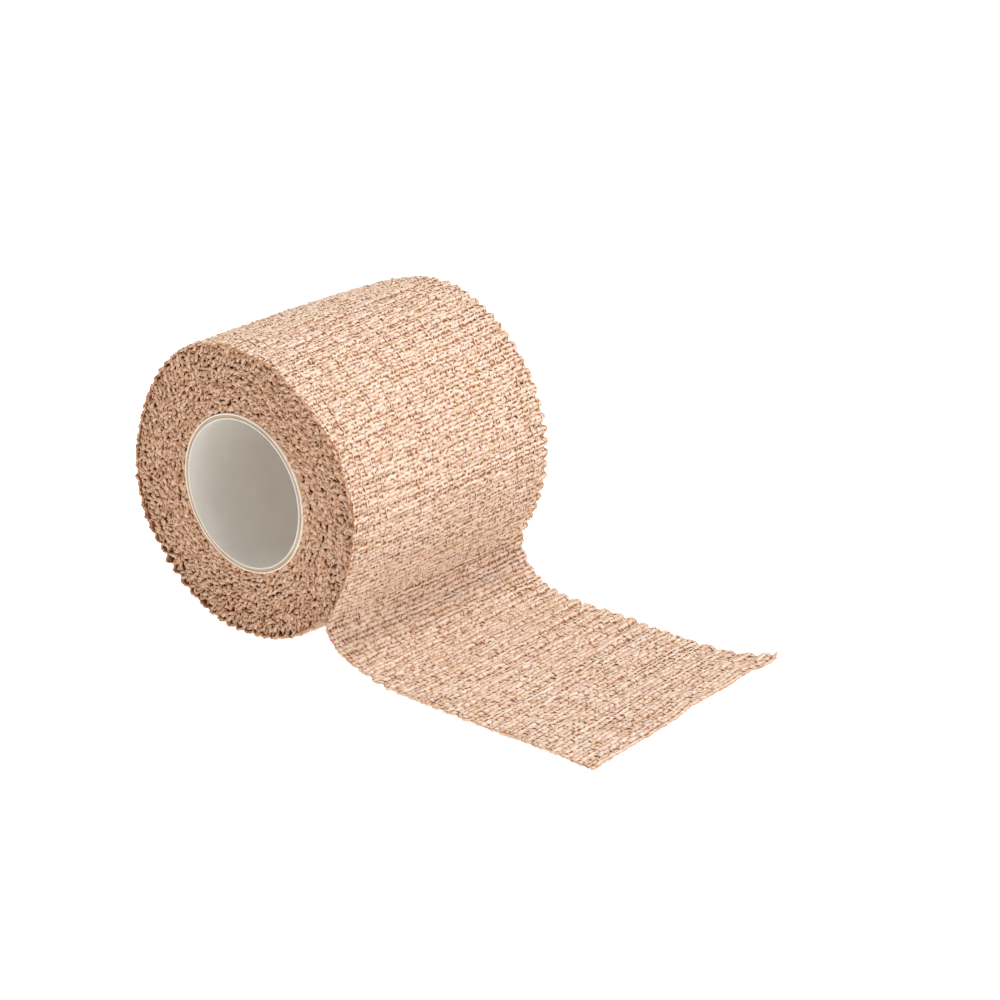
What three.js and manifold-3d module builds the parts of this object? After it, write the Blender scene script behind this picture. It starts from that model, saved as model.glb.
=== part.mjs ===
// A strip of crimped cohesive bandage wound on a short paper tube. The roll lies on its side, and the
// loose end is peeled off its front and lies flat on the surface.
// Millimetres, +Z up. The origin is the middle of the flat spot under the roll, +X runs along the loose
// end and +Y along the roll's axis.

import * as THREE from "three";
import { mergeVertices } from "three/addons/utils/BufferGeometryUtils.js";
import Module from "manifold-3d";

// The wound strip
const STRIP_WIDTH = 50;
const OUTER_RADIUS = 28.25;
const TURN_THICKNESS = 0.8;
const CROWN = 0.5;
const FLAT_SPOT_HALF = 3;
const EDGE_ROUNDING = 0.5;
const RIM_DEPTH = 2.2;
const FACE_DISHING = 0.3;

// Crimp ribs: they run across the strip, and the loose end has them a little flatter
const RIB_PITCH = 2.5;
const RIB_RELIEF = 0.42;
const LOOSE_RIB_RELIEF = 0.32;
const EDGE_SCALLOP = 0.35;
const SCALLOP_FADE = 8;
const RIB_WAVER = 0.4;
const RIB_BEND_LENGTH = 31;
const STEPS_PER_RIB = 4;
const RIBS_ROUND_ROLL = 70;

// The loose end
const SHEET_THICKNESS = 1.05;
const PEEL_ANGLE = THREE.MathUtils.degToRad(138);
const SHEET_STEPS_ACROSS = 5;

// Rows from inside the roll to the cut end. Near and far are the strip's two edges, and the heights are
// those of its underside.
const LOOSE_END = [
  { name: "rooted", nearX: 15.4, nearY: -24.4, nearZ: 10.8, farX: 16.6, farY: 24.4, farZ: 11.8 },
  { name: "crease", nearX: 18.6, nearY: -25.0, nearZ: 7.2, farX: 20.2, farY: 25.0, farZ: 8.2 },
  { name: "drop", nearX: 21.2, nearY: -25.0, nearZ: 4.3, farX: 22.4, farY: 24.9, farZ: 4.6 },
  { name: "foot", nearX: 24.8, nearY: -24.9, nearZ: 1.7, farX: 25.2, farY: 24.4, farZ: 1.6 },
  { name: "landing", nearX: 30.0, nearY: -25.4, nearZ: 0.0, farX: 29.6, farY: 23.4, farZ: 0.2 },
  { name: "drift", nearX: 37.0, nearY: -26.3, nearZ: 0.0, farX: 36.6, farY: 22.4, farZ: 0.0 },
  { name: "middle", nearX: 50.0, nearY: -27.2, nearZ: 0.0, farX: 48.5, farY: 22.3, farZ: 0.0 },
  { name: "long run", nearX: 66.0, nearY: -27.6, nearZ: 0.0, farX: 63.5, farY: 21.8, farZ: 0.0 },
  { name: "flare", nearX: 79.0, nearY: -28.0, nearZ: 0.0, farX: 75.0, farY: 22.8, farZ: 0.1 },
  { name: "cut end", nearX: 85.7, nearY: -28.1, nearZ: 0.0, farX: 80.6, farY: 26.4, farZ: 0.6 },
];

// The paper tube, which sits a little forward of and above the middle of the roll's outline
const TUBE_X = 0.3;
const TUBE_RAISED = 0.35;
const TUBE_OUTER_RADIUS = 15.0;
const TUBE_INNER_RADIUS = 13.9;
const TUBE_LENGTH = 50.4;
const TUBE_EDGE_ROUNDING = 0.2;
const TUBE_SIDES = 96;
const TUBE_CLEARANCE = 0.3;

const NEARLY = 1e-3;
const MERGE_DISTANCE = 1e-4;
const HALF_WIDTH = STRIP_WIDTH / 2;
const ROLL_STEPS = RIBS_ROUND_ROLL * STEPS_PER_RIB;
const PEEL_SHARE = 0.5 - PEEL_ANGLE / (2 * Math.PI);
const LOWEST_RADIUS = OUTER_RADIUS - TURN_THICKNESS * (1 - PEEL_SHARE);
const AXIS_HEIGHT = Math.sqrt(LOWEST_RADIUS ** 2 - FLAT_SPOT_HALF ** 2);

// Height of the crimp above its valleys, from 0 to 1, at a distance along the strip and a place across
// it. The ribs wander a little, as they do in cloth.
function crimp(along, across) {
  const bend = RIB_WAVER * Math.sin((2 * Math.PI * (across + along)) / RIB_BEND_LENGTH);
  return 0.5 + 0.5 * Math.cos((2 * Math.PI * (along + bend)) / RIB_PITCH);
}

// The roll is a ring whose outer skin follows the last turn of the winding: it grows by one thickness
// of cloth from the peel, under the roll and over its top, back to the peel.
function woundRoll() {
  const boreRadius = TUBE_OUTER_RADIUS + TUBE_CLEARANCE;
  const rimRadius = OUTER_RADIUS - EDGE_ROUNDING;
  const rimY = HALF_WIDTH - EDGE_ROUNDING;
  const faceRadius = rimRadius - RIM_DEPTH;
  const profile = [
    new THREE.Vector2(boreRadius, -HALF_WIDTH),
    new THREE.Vector2(faceRadius, -HALF_WIDTH),
    new THREE.Vector2(rimRadius, -HALF_WIDTH),
    new THREE.Vector2(OUTER_RADIUS, -rimY),
    new THREE.Vector2(OUTER_RADIUS, -rimY / 2),
    new THREE.Vector2(OUTER_RADIUS, 0),
    new THREE.Vector2(OUTER_RADIUS, rimY / 2),
    new THREE.Vector2(OUTER_RADIUS, rimY),
    new THREE.Vector2(rimRadius, HALF_WIDTH),
    new THREE.Vector2(faceRadius, HALF_WIDTH),
    new THREE.Vector2(boreRadius, HALF_WIDTH),
    new THREE.Vector2(boreRadius, -HALF_WIDTH),
  ];
  const ring = new THREE.LatheGeometry(profile, ROLL_STEPS, PEEL_ANGLE);
  const points = ring.getAttribute("position");
  for (let i = 0; i < points.count; i += 1) {
    shapeRollPoint(points, i, profile.length, boreRadius, rimRadius);
  }
  return ring;
}

// Moves one point of the ring to its turn of the winding, its rib and its edge
function shapeRollPoint(points, index, profileLength, boreRadius, rimRadius) {
  const step = Math.floor(index / profileLength) % ROLL_STEPS;
  const x = points.getX(index);
  const y = points.getY(index);
  const z = points.getZ(index);
  const radius = Math.hypot(x, z);
  const turned = step / ROLL_STEPS;
  const height = crimp(step * (RIB_PITCH / STEPS_PER_RIB), y);
  const side = Math.sign(y);
  const inward = (OUTER_RADIUS - radius) / (OUTER_RADIUS - boreRadius);
  let newRadius = radius;
  let newY = y;
  if (radius > rimRadius - NEARLY) {
    const crown = CROWN * (1 - (y / HALF_WIDTH) ** 2);
    newRadius += crown - TURN_THICKNESS * (1 - turned) - RIB_RELIEF * (1 - height);
    newY += side * EDGE_SCALLOP * (height - 0.5) * (Math.abs(y) / HALF_WIDTH) ** SCALLOP_FADE;
  } else if (radius > boreRadius + NEARLY) {
    newY -= side * FACE_DISHING;
  }
  const scale = newRadius / radius;
  const newX = x * scale + TUBE_X * inward;
  const newZ = AXIS_HEIGHT + z * scale + TUBE_RAISED * inward;
  points.setXYZ(index, newX, newY, Math.max(newZ, 0));
}

// A smooth curve along one edge of the loose end
function edgeCurve(edge) {
  const places = LOOSE_END.map(
    (row) => new THREE.Vector3(row[edge + "X"], row[edge + "Y"], row[edge + "Z"]),
  );
  return new THREE.CatmullRomCurve3(places, false, "centripetal");
}

// The loose end is a box whose points are laid between its two edge curves
function looseEnd() {
  const near = edgeCurve("near");
  const far = edgeCurve("far");
  const length = near.getLength();
  const steps = Math.round(length / RIB_PITCH) * STEPS_PER_RIB;
  const sheet = new THREE.BoxGeometry(1, 1, 1, steps, SHEET_STEPS_ACROSS, 1);
  const points = sheet.getAttribute("position");
  for (let i = 0; i < points.count; i += 1) {
    const along = points.getX(i) + 0.5;
    const across = points.getY(i) + 0.5;
    const isTop = points.getZ(i) > 0;
    const place = sheetPoint(near, far, along, across, isTop, length);
    points.setXYZ(i, place.x, place.y, place.z);
  }
  return sheet;
}

// One point of the loose end. The underside lies between the edges, and the top is ribbed.
function sheetPoint(near, far, along, across, isTop, length) {
  const nearPoint = near.getPointAt(along);
  const farPoint = far.getPointAt(along);
  const place = nearPoint.clone().lerp(farPoint, across);
  const height = crimp(along * length, (across - 0.5) * STRIP_WIDTH);
  const forward = near.getTangentAt(along).lerp(far.getTangentAt(along), across);
  const sideways = farPoint.sub(nearPoint);
  const up = forward.cross(sideways).normalize();
  const atEdge = across < NEARLY || across > 1 - NEARLY;
  if (atEdge) {
    place.y += Math.sign(across - 0.5) * EDGE_SCALLOP * (height - 0.5);
  }
  place.z = Math.max(place.z, 0);
  if (isTop) {
    place.addScaledVector(up, SHEET_THICKNESS - LOOSE_RIB_RELIEF * (1 - height));
  }
  return place;
}

// The tube's wall as a closed section turned round the roll's axis
function paperTube() {
  const half = TUBE_LENGTH / 2;
  const round = TUBE_EDGE_ROUNDING;
  const section = [
    new THREE.Vector2(TUBE_INNER_RADIUS, -half + round),
    new THREE.Vector2(TUBE_INNER_RADIUS + round, -half),
    new THREE.Vector2(TUBE_OUTER_RADIUS - round, -half),
    new THREE.Vector2(TUBE_OUTER_RADIUS, -half + round),
    new THREE.Vector2(TUBE_OUTER_RADIUS, half - round),
    new THREE.Vector2(TUBE_OUTER_RADIUS - round, half),
    new THREE.Vector2(TUBE_INNER_RADIUS + round, half),
    new THREE.Vector2(TUBE_INNER_RADIUS, half - round),
    new THREE.Vector2(TUBE_INNER_RADIUS, -half + round),
  ];
  return new THREE.LatheGeometry(section, TUBE_SIDES);
}

// A closed mesh as a solid, with its shared points merged
function toSolid(wasm, geometry) {
  geometry.deleteAttribute("normal");
  geometry.deleteAttribute("uv");
  const merged = mergeVertices(geometry, MERGE_DISTANCE);
  const mesh = new wasm.Mesh({
    numProp: 3,
    vertProperties: merged.getAttribute("position").array,
    triVerts: new Uint32Array(merged.getIndex().array),
  });
  return new wasm.Manifold(mesh);
}

// A solid back as a geometry
function toGeometry(solid) {
  const mesh = solid.getMesh();
  const geometry = new THREE.BufferGeometry();
  geometry.setAttribute("position", new THREE.BufferAttribute(mesh.vertProperties, 3));
  geometry.setIndex(new THREE.BufferAttribute(mesh.triVerts, 1));
  geometry.computeVertexNormals();
  return geometry;
}

const cloth = new THREE.MeshStandardMaterial({ color: 0xe4c5ae, roughness: 0.95, metalness: 0 });
const paper = new THREE.MeshStandardMaterial({ color: 0xd9d6cd, roughness: 0.6, metalness: 0 });

const wasm = await Module();
wasm.setup();

const wound = toSolid(wasm, woundRoll());
const loose = toSolid(wasm, looseEnd());
const strip = new THREE.Mesh(toGeometry(wound.add(loose)), cloth);
strip.name = "bandage_strip";

const tube = new THREE.Mesh(paperTube(), paper);
tube.name = "core_tube";
tube.position.set(TUBE_X, 0, AXIS_HEIGHT + TUBE_RAISED);

const roll = new THREE.Group();
roll.add(strip, tube);

export default roll;
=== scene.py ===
# %% [markdown]
# # A cohesive bandage roll
# The real thing is one long strip of crimped, self-clinging cloth, wound on a short paper tube. Its last
# 70 mm is peeled off the roll and lies flat in front of it. The frame holds two plain solids: the strip
# and the tube. This script dresses them as cloth and paper, and moves or resizes neither.

# %% Load the frame
import math
import bmesh
import bpy
import numpy as np
from mathutils import Matrix, Vector


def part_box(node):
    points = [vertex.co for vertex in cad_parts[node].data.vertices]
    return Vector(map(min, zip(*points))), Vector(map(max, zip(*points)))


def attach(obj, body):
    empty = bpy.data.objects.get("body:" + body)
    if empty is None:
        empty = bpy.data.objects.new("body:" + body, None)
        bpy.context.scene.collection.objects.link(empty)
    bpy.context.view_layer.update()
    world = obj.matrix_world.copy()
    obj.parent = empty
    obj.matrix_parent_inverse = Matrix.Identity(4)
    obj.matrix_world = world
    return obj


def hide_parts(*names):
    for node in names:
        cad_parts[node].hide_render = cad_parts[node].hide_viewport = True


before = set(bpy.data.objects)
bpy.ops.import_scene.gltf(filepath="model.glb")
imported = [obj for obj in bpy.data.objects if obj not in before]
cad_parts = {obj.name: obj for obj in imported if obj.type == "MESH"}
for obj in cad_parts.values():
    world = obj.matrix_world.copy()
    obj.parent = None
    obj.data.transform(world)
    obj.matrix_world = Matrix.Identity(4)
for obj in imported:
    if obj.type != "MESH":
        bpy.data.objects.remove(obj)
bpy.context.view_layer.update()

MM = 0.001
FULL_TURN = 2 * math.pi
BODY = "root"
STRIP_NODE = "bandage_strip"
TUBE_NODE = "core_tube"
strip_low, strip_high = (Vector(corner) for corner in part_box(STRIP_NODE))
tube_low, tube_high = (Vector(corner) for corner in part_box(TUBE_NODE))
print("The strip spans", [round(size / MM, 1) for size in strip_high - strip_low], "mm")

# %% [markdown]
# ## Sizes of the strip
# Crimped cloth is easiest to think of as a flat strip with two coordinates: how far along it a point is,
# and how far across. Every yarn is planned on that flat strip and then wrapped onto the roll. These are
# the driving sizes, and they agree with those of the solids.

# %% Name the sizes of the strip
STRIP_WIDTH = 50 * MM
OUTER_RADIUS = 28.25 * MM
TURN_THICKNESS = 0.8 * MM
CROWN = 0.5 * MM
FLAT_SPOT_HALF = 3 * MM
HALF_CLOTH = 0.48 * MM
RIB_PITCH = 2.5 * MM
RIB_RELIEF = 0.42 * MM
RIB_WAVER = 0.6 * MM
RIB_BEND_LENGTH = 31 * MM
RIBS_ROUND_ROLL = 70
STEPS_PER_RIB = 6
ROLL_LENGTH = RIBS_ROUND_ROLL * RIB_PITCH
TUCK_LENGTH = 5 * MM
PEEL_NEAR = math.radians(135)
PEEL_FAR = math.radians(131.6)
SETTLED_ANGLE = math.radians(138)
LOWEST_SHARE = 1 - (0.5 - SETTLED_ANGLE / FULL_TURN)
LOWEST_RADIUS = OUTER_RADIUS - TURN_THICKNESS * LOWEST_SHARE
AXIS_HEIGHT = math.sqrt(LOWEST_RADIUS**2 - FLAT_SPOT_HALF**2)
print("The roll's axis lies", round(AXIS_HEIGHT / MM, 2), "mm above the surface")

# %% [markdown]
# ## The route of the loose end
# A few rows from the crease to the cut end say where the two edges of the cloth lie. The heights are those
# of the underside. A smooth path through them stands for each edge, and the cloth spans between the two.
# The near edge and the cut end lie up to 1.7 mm outside those of the solid, as the photograph shows them.

# %% Lay out the edges of the loose end
LOOSE_END_MM = [
    {"name": "drop", "near": (20.2, -25.0, 4.1), "far": (21.8, 24.9, 4.5)},
    {"name": "foot", "near": (24.2, -25.0, 1.5), "far": (25.0, 24.4, 1.6)},
    {"name": "landing", "near": (30.0, -25.4, 0.0), "far": (29.6, 23.4, 0.2)},
    {"name": "drift", "near": (37.0, -27.1, 0.0), "far": (36.6, 22.4, 0.0)},
    {"name": "middle", "near": (50.0, -27.8, 0.0), "far": (48.5, 22.3, 0.0)},
    {"name": "long run", "near": (66.0, -28.3, 0.0), "far": (63.5, 21.8, 0.0)},
    {"name": "flare", "near": (79.4, -28.5, 0.0), "far": (75.0, 22.8, 0.1)},
    {"name": "cut end", "near": (87.0, -29.4, 0.0), "far": (80.3, 26.4, 0.6)},
]
LOOSE_RIB_PITCH = 3.4 * MM
LOOSE_RIB_RELIEF = 0.32 * MM
PATH_SAMPLES = 400
SLACK_FADE = 3
SLACK_PLACES = [
    {"angle": 335, "spread": 22, "side": -1, "out_mm": 0.9},
    {"angle": 15, "spread": 28, "side": -1, "out_mm": 0.4},
    {"angle": 70, "spread": 14, "side": -1, "out_mm": 0.4},
    {"angle": 118, "spread": 16, "side": -1, "out_mm": -0.4},
    {"angle": 205, "spread": 18, "side": -1, "out_mm": 0.4},
    {"angle": 255, "spread": 22, "side": -1, "out_mm": 0.95},
    {"angle": 295, "spread": 12, "side": -1, "out_mm": -0.4},
    {"angle": 342, "spread": 16, "side": 1, "out_mm": -0.8},
    {"angle": 20, "spread": 20, "side": 1, "out_mm": 0.7},
    {"angle": 68, "spread": 38, "side": 1, "out_mm": 0.9},
]


def smooth_path(points, count):
    """Places evenly spaced points on a smooth curve through the given ones."""
    points = np.asarray(points, float)
    chords = np.linalg.norm(np.diff(points, axis=0), axis=1)
    travelled = np.concatenate([[0.0], np.cumsum(chords)])
    tangents = np.gradient(points, travelled, axis=0)
    fine = np.linspace(0.0, travelled[-1], PATH_SAMPLES)
    index = np.clip(np.searchsorted(travelled, fine, side="right") - 1, 0, len(points) - 2)
    span = (travelled[index + 1] - travelled[index])[:, None]
    share = (fine - travelled[index])[:, None] / span
    start, end = points[index], points[index + 1]
    leaving, arriving = tangents[index] * span, tangents[index + 1] * span
    curve = (
        start * (2 * share**3 - 3 * share**2 + 1)
        + leaving * (share**3 - 2 * share**2 + share)
        + end * (3 * share**2 - 2 * share**3)
        + arriving * (share**3 - share**2)
    )
    lengths = np.concatenate([[0.0], np.cumsum(np.linalg.norm(np.diff(curve, axis=0), axis=1))])
    wanted = np.linspace(0.0, lengths[-1], count)
    return np.stack([np.interp(wanted, lengths, curve[:, axis]) for axis in range(3)], axis=1)


def slack(angle, across):
    """How far the cloth stands off the roll where it is wound loosely, mostly along its two edges."""
    out = 0.0 * across
    for place in SLACK_PLACES:
        away = np.degrees(angle) - place["angle"]
        nearness = np.exp(-(((away + 180) % 360 - 180) / place["spread"]) ** 2)
        towards_edge = (0.5 + place["side"] * across) ** SLACK_FADE
        out = out + place["out_mm"] * MM * nearness * towards_edge
    return out


def winding_point(turned, across):
    """A point on the middle of the last turn. turned is 0 at the peel and 1 back at it."""
    peel = PEEL_NEAR + (PEEL_FAR - PEEL_NEAR) * (across + 0.5)
    angle = peel + FULL_TURN * turned
    radius = OUTER_RADIUS - HALF_CLOTH - TURN_THICKNESS * (1 - turned) + CROWN * (1 - (2 * across) ** 2)
    radius = radius + slack(angle, across)
    x = radius * np.sin(angle)
    z = AXIS_HEIGHT + radius * np.cos(angle)
    return np.stack([x, across * STRIP_WIDTH + 0 * x, z], axis=-1)


def loose_edge(side, count):
    """The middle of the cloth along one edge of the loose end, from the crease to the cut end."""
    crease = winding_point(np.array(1.0), np.array(-0.5 if side == "near" else 0.5))
    rows = [crease] + [np.array(row[side]) * MM + np.array([0.0, 0.0, HALF_CLOTH]) for row in LOOSE_END_MM]
    return smooth_path(rows, count)


probe = loose_edge("near", PATH_SAMPLES)
LOOSE_LENGTH = float(np.linalg.norm(np.diff(probe, axis=0), axis=1).sum())
CLOTH_LENGTH = TUCK_LENGTH + ROLL_LENGTH + LOOSE_LENGTH
print("Loose end", round(LOOSE_LENGTH / MM, 1), "mm, cloth that shows", round(CLOTH_LENGTH / MM, 1), "mm")

# %% [markdown]
# ## The middle surface of the cloth
# One grid holds the last turn and the loose end. Each point is set on its path, the corner at the crease
# is rounded a little, and then the crimp ribs push it in and out. The grid also keeps the directions up
# from the cloth and sideways along its width, which the yarns need later.

# %% Build the middle surface
ACROSS_STEPS = 24
GRID_STEP = RIB_PITCH / STEPS_PER_RIB
CREASE_ROUNDING = 60
SCALLOP_FADE = 8
ROLL_SCALLOP = 0.52 * MM
LOOSE_SCALLOP = 0.9 * MM
FAR_SCALLOP_SHARE = 0.35
HEM_FADE = 5
HEM_RIBS = 0.35
CALM_RIBS = 0.85
CALM_AT = 275
CALM_SPREAD = 60
CALM_SHARE = 0.65
JOIN_FADE = 5 * MM
LOOSE_BLEND = 4 * MM
END_WAVE_FADE = 6
SCALLOP_MIDDLE = 0.6
SWELL = 0.6
SHORT_SWELL = 4.7 * MM
LONG_SWELL = 11.3 * MM
SWELL_START = 0.7
RIB_DRIFTS = [
    {"length": 5.3 * MM, "start": 0.0, "size": 0.35},
    {"length": 3.1 * MM, "start": 1.0, "size": 0.3},
]
END_WAVES_MM = [
    {"where": -2.0, "reach": 18.0, "out": 1.0},
    {"where": 0.5, "reach": 2.4, "out": -1.0},
    {"where": 13.5, "reach": 7.0, "out": 0.7},
    {"where": 23.0, "reach": 4.2, "out": 2.4},
]


def rib_phase(along, across):
    """How many ribs come before a place, as an angle. The ribs wander, and spread on the loose end."""
    bend = RIB_WAVER * np.sin(FULL_TURN * (across * STRIP_WIDTH + along) / RIB_BEND_LENGTH)
    on_roll = np.minimum(along - TUCK_LENGTH, ROLL_LENGTH) / RIB_PITCH
    on_loose = np.maximum(along - TUCK_LENGTH - ROLL_LENGTH, 0.0) / LOOSE_RIB_PITCH
    drift = sum(wave["size"] * np.sin(along / wave["length"] + wave["start"]) for wave in RIB_DRIFTS)
    return FULL_TURN * (on_roll + on_loose + bend / RIB_PITCH) + drift


def unit(vectors):
    """The same vectors with length one."""
    return vectors / np.linalg.norm(vectors, axis=-1, keepdims=True)


def rounded(points, rounds):
    """Softens corners along the strip by averaging each row with its neighbours."""
    for _ in range(rounds):
        points = points.copy()
        points[1:-1] = (points[:-2] + 2 * points[1:-1] + points[2:]) / 4
    return points


def smooth_strip():
    """The cloth's middle before it is crimped, and the two coordinates of its rows and columns."""
    wound_rows = int(round((TUCK_LENGTH + ROLL_LENGTH) / GRID_STEP)) + 1
    loose_rows = int(round(LOOSE_LENGTH / GRID_STEP)) + 1
    across = 0.5 * np.sin(np.linspace(-math.pi / 2, math.pi / 2, ACROSS_STEPS + 1))
    turned = np.linspace(-TUCK_LENGTH / ROLL_LENGTH, 1.0, wound_rows)
    wound = winding_point(turned[:, None], across[None, :])
    near = loose_edge("near", loose_rows)[:, None, :]
    far = loose_edge("far", loose_rows)[:, None, :]
    share = (across + 0.5)[None, :, None]
    loose = near * (1 - share) + far * share
    fade = np.exp(-np.linspace(0.0, LOOSE_LENGTH, loose_rows) / JOIN_FADE)[:, None, None]
    loose = loose + (wound[-1] - loose[0])[None] * fade
    travelled = np.linspace(0.0, 1.0, loose_rows)[:, None]
    for wave in END_WAVES_MM:
        distance = (loose[:, :, 1] / MM - wave["where"]) / wave["reach"]
        loose[:, :, 0] += wave["out"] * MM * np.exp(-(distance**2)) * travelled**END_WAVE_FADE
    middle = rounded(np.concatenate([wound, loose[1:]]), CREASE_ROUNDING)
    along = np.concatenate([
        np.linspace(0.0, TUCK_LENGTH + ROLL_LENGTH, wound_rows),
        np.linspace(TUCK_LENGTH + ROLL_LENGTH, CLOTH_LENGTH, loose_rows)[1:],
    ])
    return middle, along, across


def crimped(middle, along, across):
    """The cloth's middle with its ribs and its scalloped edges, its directions and its crimp."""
    forward = unit(np.gradient(middle, axis=0))
    side = unit(np.gradient(middle, axis=1))
    up = unit(np.cross(forward, side))
    is_loose = np.clip((along - TUCK_LENGTH - ROLL_LENGTH) / LOOSE_BLEND, 0.0, 1.0)[:, None]
    to_edge = np.abs(2 * across)[None, :]
    crimp = 0.5 + 0.5 * np.cos(rib_phase(along[:, None], across[None, :]))
    plump = 1 - (1 - crimp) ** 2
    swell = (1 + SWELL * np.sin(along / SHORT_SWELL) * np.sin(along / LONG_SWELL + SWELL_START))[:, None]
    relief = RIB_RELIEF * (CALM_RIBS + (1 - CALM_RIBS) * to_edge**HEM_FADE)
    lift = -relief * (1 - plump) * (1 - is_loose) + LOOSE_RIB_RELIEF * plump * is_loose
    turned_degrees = np.degrees(PEEL_NEAR) + 360 * (along - TUCK_LENGTH) / ROLL_LENGTH
    behind = np.exp(-(((turned_degrees - CALM_AT) / CALM_SPREAD) ** 2))[:, None] * (across < 0)[None, :]
    held_flat = 1 - CALM_SHARE * behind * to_edge**2
    lift = lift * (1 + HEM_RIBS * to_edge**HEM_FADE * swell) * held_flat
    calm = np.where(across > 0, FAR_SCALLOP_SHARE, 1.0)[None, :]
    scallop = (ROLL_SCALLOP * (1 - is_loose) + LOOSE_SCALLOP * is_loose * calm) * swell
    scallop = scallop * held_flat * (plump - SCALLOP_MIDDLE) * np.sign(across) * to_edge**SCALLOP_FADE
    points = middle + up * lift[:, :, None] + side * scallop[:, :, None]
    points[:, :, 2] = np.maximum(points[:, :, 2], HALF_CLOTH)
    return points, up, side, crimp


smooth_middle, surface_along, surface_across = smooth_strip()
surface_points, surface_up, surface_side, surface_crimp = crimped(
    smooth_middle, surface_along, surface_across
)
print("Middle surface:", surface_points.shape[0], "by", surface_points.shape[1], "points")

# %% [markdown]
# ## Ground cloth
# Under the pale yarns of such a bandage lies a thin brown ground: elastic threads and the coating that
# makes it cling. It shows only in the holes between the yarns, and its brown is made darker still as
# painted shade, the shade deep in those holes. A closed sheet a quarter of a millimetre thick, made from
# the grid, is enough, and its texture map runs along and across the strip. It ends a little before the
# cut, so that the yarns hide its edge.

# %% Make meshes from grids
GROUND_HALF = 0.12 * MM
GROUND_SHORTER_BY = 3


def mesh_object(name, points, faces):
    """A new object at the origin from points and faces."""
    mesh = bpy.data.meshes.new(name)
    mesh.from_pydata([tuple(point) for point in points], [], faces)
    mesh.update()
    made = bpy.data.objects.new(name, mesh)
    bpy.context.scene.collection.objects.link(made)
    return made


def grid_faces(rows, columns, start=0, flip=False):
    """Four-sided faces of a grid of points that is stored row by row."""
    faces = []
    for row in range(rows - 1):
        for column in range(columns - 1):
            corner = start + row * columns + column
            face = (corner, corner + columns, corner + columns + 1, corner + 1)
            faces.append(face[::-1] if flip else face)
    return faces


def ring_faces(steps, count):
    """Faces between sections of count points that stand once round an axis."""
    faces = []
    for step in range(steps):
        here = step * count
        ahead = (step + 1) % steps * count
        for place in range(count):
            beside = (place + 1) % count
            faces.append((here + place, here + beside, ahead + beside, ahead + place))
    return faces


def smooth_faces(piece):
    """Shades all faces of a piece as one smooth surface."""
    for face in piece.data.polygons:
        face.use_smooth = True


def border_loop(rows, columns):
    """Numbers of the grid's border points, once round."""
    first = list(range(columns))
    right = [row * columns + columns - 1 for row in range(1, rows)]
    last = [(rows - 1) * columns + column for column in range(columns - 2, -1, -1)]
    left = [row * columns for row in range(rows - 2, 0, -1)]
    return first + right + last + left


def add_strip_map(mesh, along, across):
    """A texture map whose first coordinate runs along the strip and whose second runs across it."""
    layer = mesh.uv_layers.new(name="UVMap")
    numbers = np.empty(len(mesh.loops), dtype=np.int32)
    mesh.loops.foreach_get("vertex_index", numbers)
    pairs = np.stack([along[numbers] / CLOTH_LENGTH, across[numbers] + 0.5], axis=1)
    layer.uv.foreach_set("vector", pairs.astype(np.float32).ravel())


def add_vectors(mesh, name, vectors):
    """Stores one direction for each point of a mesh."""
    layer = mesh.attributes.new(name=name, type="FLOAT_VECTOR", domain="POINT")
    layer.data.foreach_set("vector", vectors.astype(np.float32).ravel())


print("The ground cloth will be", round(2 * GROUND_HALF / MM, 2), "mm thick")

# %% Make the guide and the ground cloth
grid_rows, grid_columns = surface_points.shape[:2]
flat_along = np.repeat(surface_along, grid_columns)
flat_across = np.tile(surface_across, grid_rows)
guide = mesh_object("guide", surface_points.reshape(-1, 3), grid_faces(grid_rows, grid_columns))
add_strip_map(guide.data, flat_along, flat_across)
add_vectors(guide.data, "up", surface_up.reshape(-1, 3))
add_vectors(guide.data, "side", surface_side.reshape(-1, 3))
add_vectors(guide.data, "crimp", np.repeat(surface_crimp.reshape(-1, 1), 3, axis=1))
surface_angle = PEEL_NEAR + FULL_TURN * (surface_along - TUCK_LENGTH) / ROLL_LENGTH
surface_slack = slack(surface_angle[:, None], surface_across[None, :])
add_vectors(guide.data, "slack", np.repeat(surface_slack.reshape(-1, 1), 3, axis=1))


def ground_cloth():
    """The closed thin sheet: a top, an underside and a wall along their border."""
    rows = grid_rows - GROUND_SHORTER_BY
    middle = surface_points[:rows]
    lift = surface_up[:rows] * GROUND_HALF
    count = rows * grid_columns
    faces = grid_faces(rows, grid_columns)
    faces += grid_faces(rows, grid_columns, start=count, flip=True)
    loop = border_loop(rows, grid_columns)
    for here, there in zip(loop, loop[1:] + loop[:1]):
        faces.append((here, there, there + count, here + count))
    points = np.concatenate([(middle + lift).reshape(-1, 3), (middle - lift).reshape(-1, 3)])
    made = mesh_object("ground_cloth", points, faces)
    add_strip_map(made.data, np.tile(flat_along[:count], 2), np.tile(flat_across[:count], 2))
    return made


ground = ground_cloth()
smooth_faces(ground)
print("Ground cloth:", len(ground.data.polygons), "faces")

# %% [markdown]
# ## Helpers for node trees
# The yarns repeat thousands of times, so Geometry Nodes make them. A tree built in code is a long list of
# nodes and links, which is hard to read. So each output of a node is wrapped as a field here, and fields
# are added and multiplied like numbers. Behind the scenes every such sum adds one Math node.

# %% Define fields
ORIGIN = (0.0, 0.0, 0.0)


class Field:
    """An output of a node that can be reckoned with like a number."""

    def __init__(self, tree, socket):
        self.tree = tree
        self.socket = socket

    def __add__(self, other):
        return calc("ADD", self, other)

    def __sub__(self, other):
        return calc("SUBTRACT", self, other)

    def __rsub__(self, other):
        return calc("SUBTRACT", other, self)

    def __mul__(self, other):
        return calc("MULTIPLY", self, other)

    def __truediv__(self, other):
        return calc("DIVIDE", self, other)

    def __pow__(self, other):
        return calc("POWER", self, other)


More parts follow.
